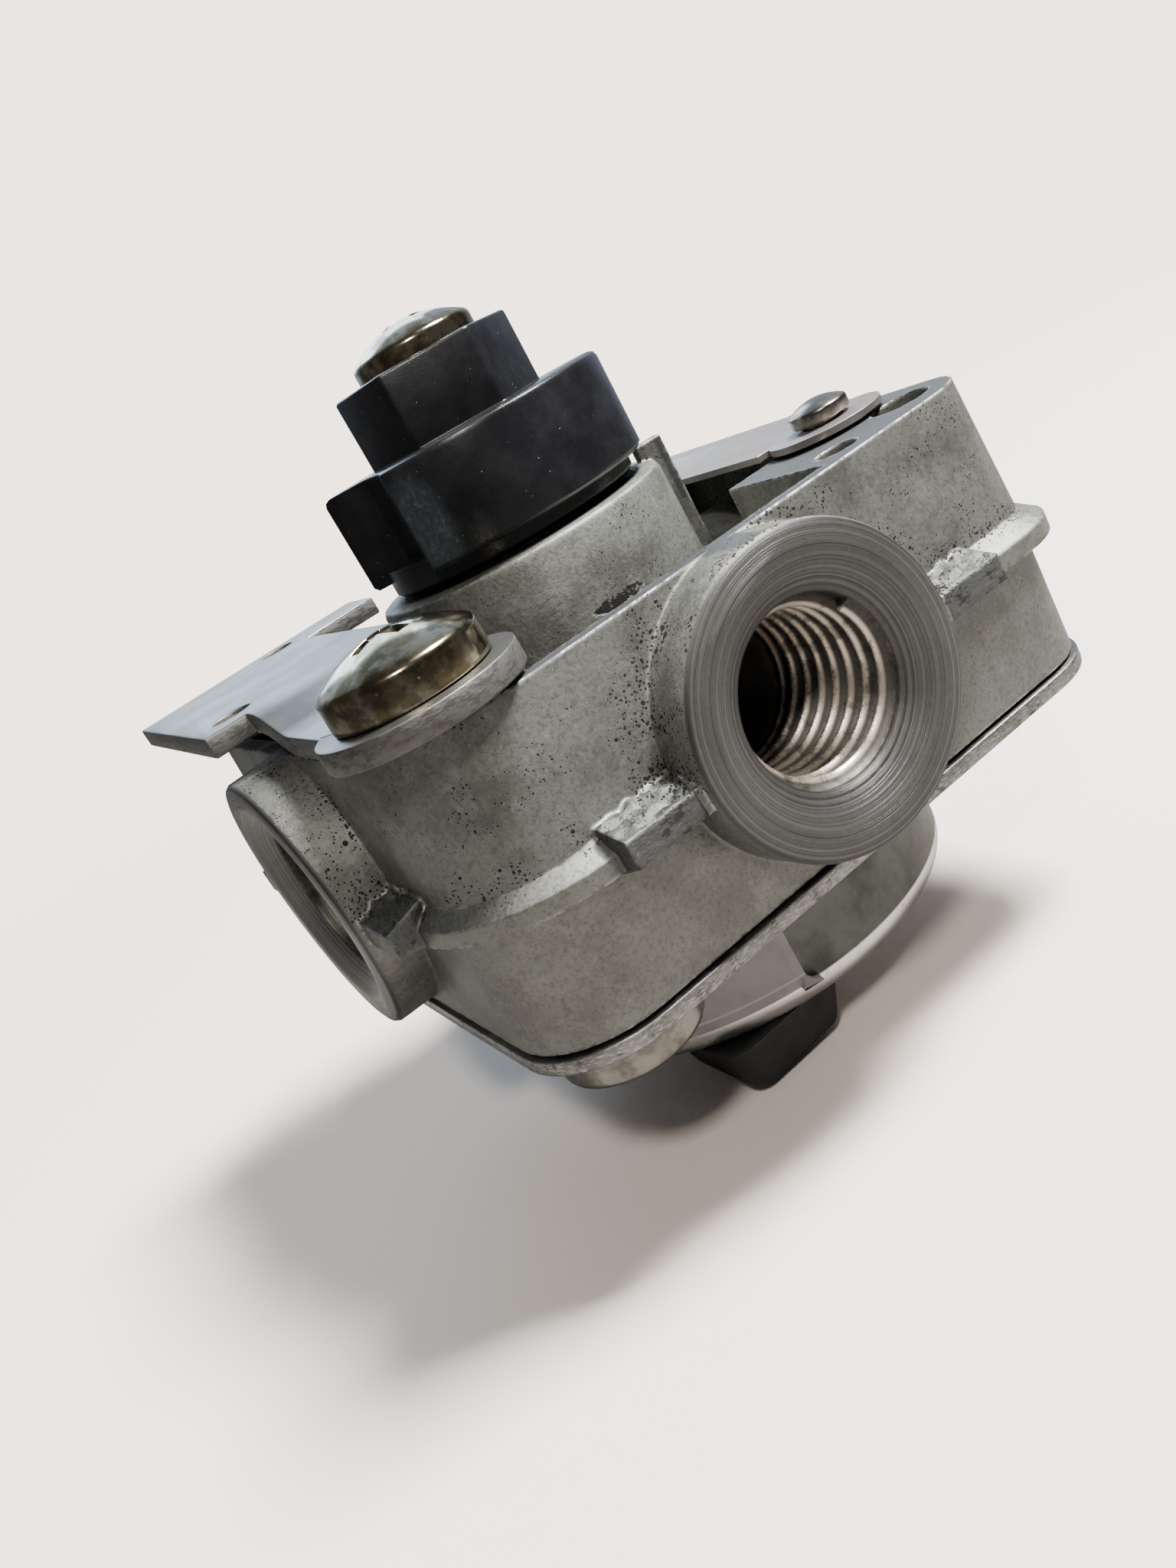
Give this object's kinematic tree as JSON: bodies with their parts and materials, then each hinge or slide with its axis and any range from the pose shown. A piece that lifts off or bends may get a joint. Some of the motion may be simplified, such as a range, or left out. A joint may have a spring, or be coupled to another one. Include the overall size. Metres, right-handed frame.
{
  "type": "multi-way valve",
  "caption": "Motor-driven rotary multi-way valve: square die-cast body with threaded side ports, hexagon-topped switch cam, switch bracket and a round geared motor below.",
  "frame": {"origin": "where the axes of the threaded ports cross the axis of the plug", "axes": "+Z along the plug's axis towards the cam and its hexagon, -Y out of the front port, -X out of the left port, +X out of the right port"},
  "size_m": [0.0568, 0.0574, 0.0591],
  "materials": {
    "cast_zinc": "matte as-cast zinc, lightly pitted and stained",
    "plated_sheet": "plated sheet steel with sheared edges",
    "bright_zinc": "bright zinc plating",
    "yellow_zinc": "yellow passivated zinc plating, worn",
    "black_plastic": "black moulding with a soft sheen",
    "brass": "turned brass",
    "steel": "plain steel",
    "rubber": "black nitrile",
    "label": "bare satin label",
    "nylon": "natural nylon",
    "ferrite": "ground ferrite",
    "copper": "enamelled copper wire"
  },
  "bodies": {
    "housing": {"valve_body": "cast_zinc", "stem_seal": "rubber", "gland_bush": "brass", "thrust_washer": "steel", "switch_bracket": "plated_sheet", "bracket_screw": "yellow_zinc", "side_plate": "plated_sheet", "side_plate_screw_front": "bright_zinc", "side_plate_screw_rear": "bright_zinc", "cover_seal": "rubber", "cover_plate": "bright_zinc", "drive_seal": "rubber", "cover_screw_front": "bright_zinc", "cover_screw_rear": "bright_zinc", "motor_can": "bright_zinc", "motor_plate": "steel", "motor_label": "label", "gear_post": "steel", "pole_plate": "steel", "coil_bobbin": "nylon", "coil_winding": "copper", "terminal_housing": "black_plastic", "terminal_blade_1": "steel", "terminal_blade_2": "steel"},
    "rotor": {"rotor_plug": "brass", "plug_oring_lower": "rubber", "plug_oring_upper": "rubber", "retaining_ring": "steel", "cam_hub": "black_plastic", "cam_screw": "yellow_zinc", "output_shaft": "steel", "output_gear": "nylon"},
    "idler": {"cluster_gear": "nylon"},
    "motor_rotor": {"magnet_rotor": "ferrite"}
  },
  "joints": [
    {"name": "rotor_spin", "type": "hinge", "parent": "housing", "child": "rotor", "pos_m": [0, 0, 0], "axis": [0, 0, 1], "continuous": true},
    {"name": "idler_spin", "type": "hinge", "parent": "housing", "child": "idler", "pos_m": [0, 0.0094, 0], "axis": [0, 0, 1], "continuous": true},
    {"name": "motor_spin", "type": "hinge", "parent": "housing", "child": "motor_rotor", "pos_m": [0, 0, 0], "axis": [0, 0, 1], "continuous": true}
  ],
  "couplings": [
    {"joint": "idler_spin", "follows": "rotor_spin", "ratio": -3},
    {"joint": "motor_spin", "follows": "rotor_spin", "ratio": 12}
  ]
}
